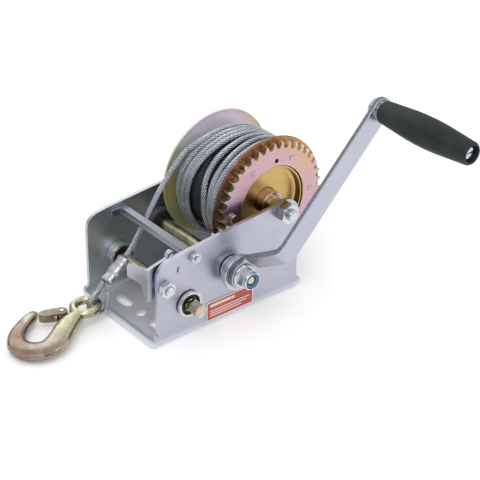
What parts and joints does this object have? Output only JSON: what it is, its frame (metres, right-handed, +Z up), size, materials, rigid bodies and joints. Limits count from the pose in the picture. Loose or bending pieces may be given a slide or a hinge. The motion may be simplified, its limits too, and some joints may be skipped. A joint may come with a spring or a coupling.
{
  "type": "boat trailer winch",
  "caption": "Two-speed hand winch with a geared drum of wire rope, crank handle and a safety snap hook.",
  "frame": {"origin": "middle of the mounting face under the frame's base", "axes": "+Z up from the mounting face, +X from the hook end towards the drum, the crank on the -Y side"},
  "size_m": [0.3169, 0.2601, 0.1942],
  "materials": {
    "zinc_plate": "bright zinc plated sheet steel, satin",
    "yellow_zinc": "yellow chromate on zinc with rainbow tints",
    "pale_zinc": "pale yellow zinc on turned steel",
    "wire_rope": "galvanised wire rope",
    "alloy_sleeve": "pressed aluminium sleeve",
    "black_rubber": "moulded grip, satin dark green-black",
    "black_nylon": "moulded nylon bush",
    "blue_nylon": "locking ring in the nut",
    "bronze": "plain bearing",
    "red_label": "self-adhesive label with plain stripes"
  },
  "bodies": {
    "root": {"frame": "zinc_plate", "cross_brace": "zinc_plate", "brace_stud_near": "zinc_plate", "brace_stud_far": "zinc_plate", "brace_nut_near": "zinc_plate", "brace_nut_far": "zinc_plate", "pawl_pivot_bolt": "zinc_plate", "pawl_pivot_nut": "zinc_plate", "pawl_spacer": "zinc_plate", "pawl_spring": "pale_zinc", "drum_axle_bolt": "zinc_plate", "drum_axle_nut": "zinc_plate", "crank_bush_near": "black_nylon", "crank_bush_far": "black_nylon", "second_bush_near": "black_nylon", "second_bush_far": "black_nylon", "crank_collar_far": "zinc_plate", "second_collar_far": "zinc_plate", "second_collar_near": "zinc_plate", "axle_spacer_near": "pale_zinc", "axle_spacer_far": "pale_zinc", "rope_lead": "wire_rope", "rope_eye": "wire_rope", "ferrule": "alloy_sleeve", "hook": "yellow_zinc", "latch_pin": "pale_zinc", "label": "red_label"},
    "crank": {"crank_shaft": "pale_zinc", "drive_pinion": "pale_zinc", "reduction_gear": "pale_zinc", "gear_spacer": "pale_zinc", "crank_clip_far": "pale_zinc", "crank_arm": "zinc_plate", "hub_spacer": "zinc_plate", "hub_washer": "zinc_plate", "crank_lock_nut": "zinc_plate", "nylon_ring": "blue_nylon", "grip_spindle": "zinc_plate", "grip_washer": "zinc_plate"},
    "grip_body": {"grip": "black_rubber"},
    "drum": {"near_flange": "yellow_zinc", "far_flange": "yellow_zinc", "drum_barrel": "yellow_zinc", "ring_gear": "yellow_zinc", "hub_disc_near": "yellow_zinc", "hub_disc_far": "yellow_zinc", "hub_tube": "yellow_zinc", "hub_bush": "bronze", "rope_clamp_screw": "pale_zinc", "rope_on_drum": "wire_rope"},
    "second": {"second_shaft": "pale_zinc", "second_pinion": "pale_zinc", "second_clip_far": "pale_zinc"},
    "pawl_body": {"pawl": "zinc_plate"},
    "latch_body": {"latch": "pale_zinc"}
  },
  "joints": [
    {"name": "crank_spin", "type": "hinge", "parent": "root", "child": "crank", "pos_m": [-0.0002, 0, 0.0523], "axis": [0, 1, 0], "continuous": true},
    {"name": "grip_spin", "type": "hinge", "parent": "crank", "child": "grip_body", "pos_m": [0.12278, -0.146, 0.18099], "axis": [0, 1, 0], "continuous": true},
    {"name": "drum_spin", "type": "hinge", "parent": "root", "child": "drum", "pos_m": [0.0594, 0, 0.08657], "axis": [0, 1, 0], "continuous": true},
    {"name": "second_shaft_spin", "type": "hinge", "parent": "root", "child": "second", "pos_m": [-0.04543, 0, 0.03412], "axis": [0, 1, 0], "continuous": true},
    {"name": "pawl_lift", "type": "hinge", "parent": "root", "child": "pawl_body", "pos_m": [-0.0694, -0.045, 0.0582], "axis": [0, -1, 0], "range_deg": [0, 12], "stiffness_Nm_per_rad": 0.02, "springref_deg": -2.86},
    {"name": "latch_swing", "type": "hinge", "parent": "root", "child": "latch_body", "pos_m": [-0.119, 0.0295, 0.0097], "axis": [0, 0, 1], "range_deg": [0, 30], "stiffness_Nm_per_rad": 0.01, "springref_deg": -2.86}
  ],
  "couplings": [
    {"joint": "drum_spin", "follows": "crank_spin", "ratio": -0.25},
    {"joint": "second_shaft_spin", "follows": "crank_spin", "ratio": -1.7857}
  ]
}
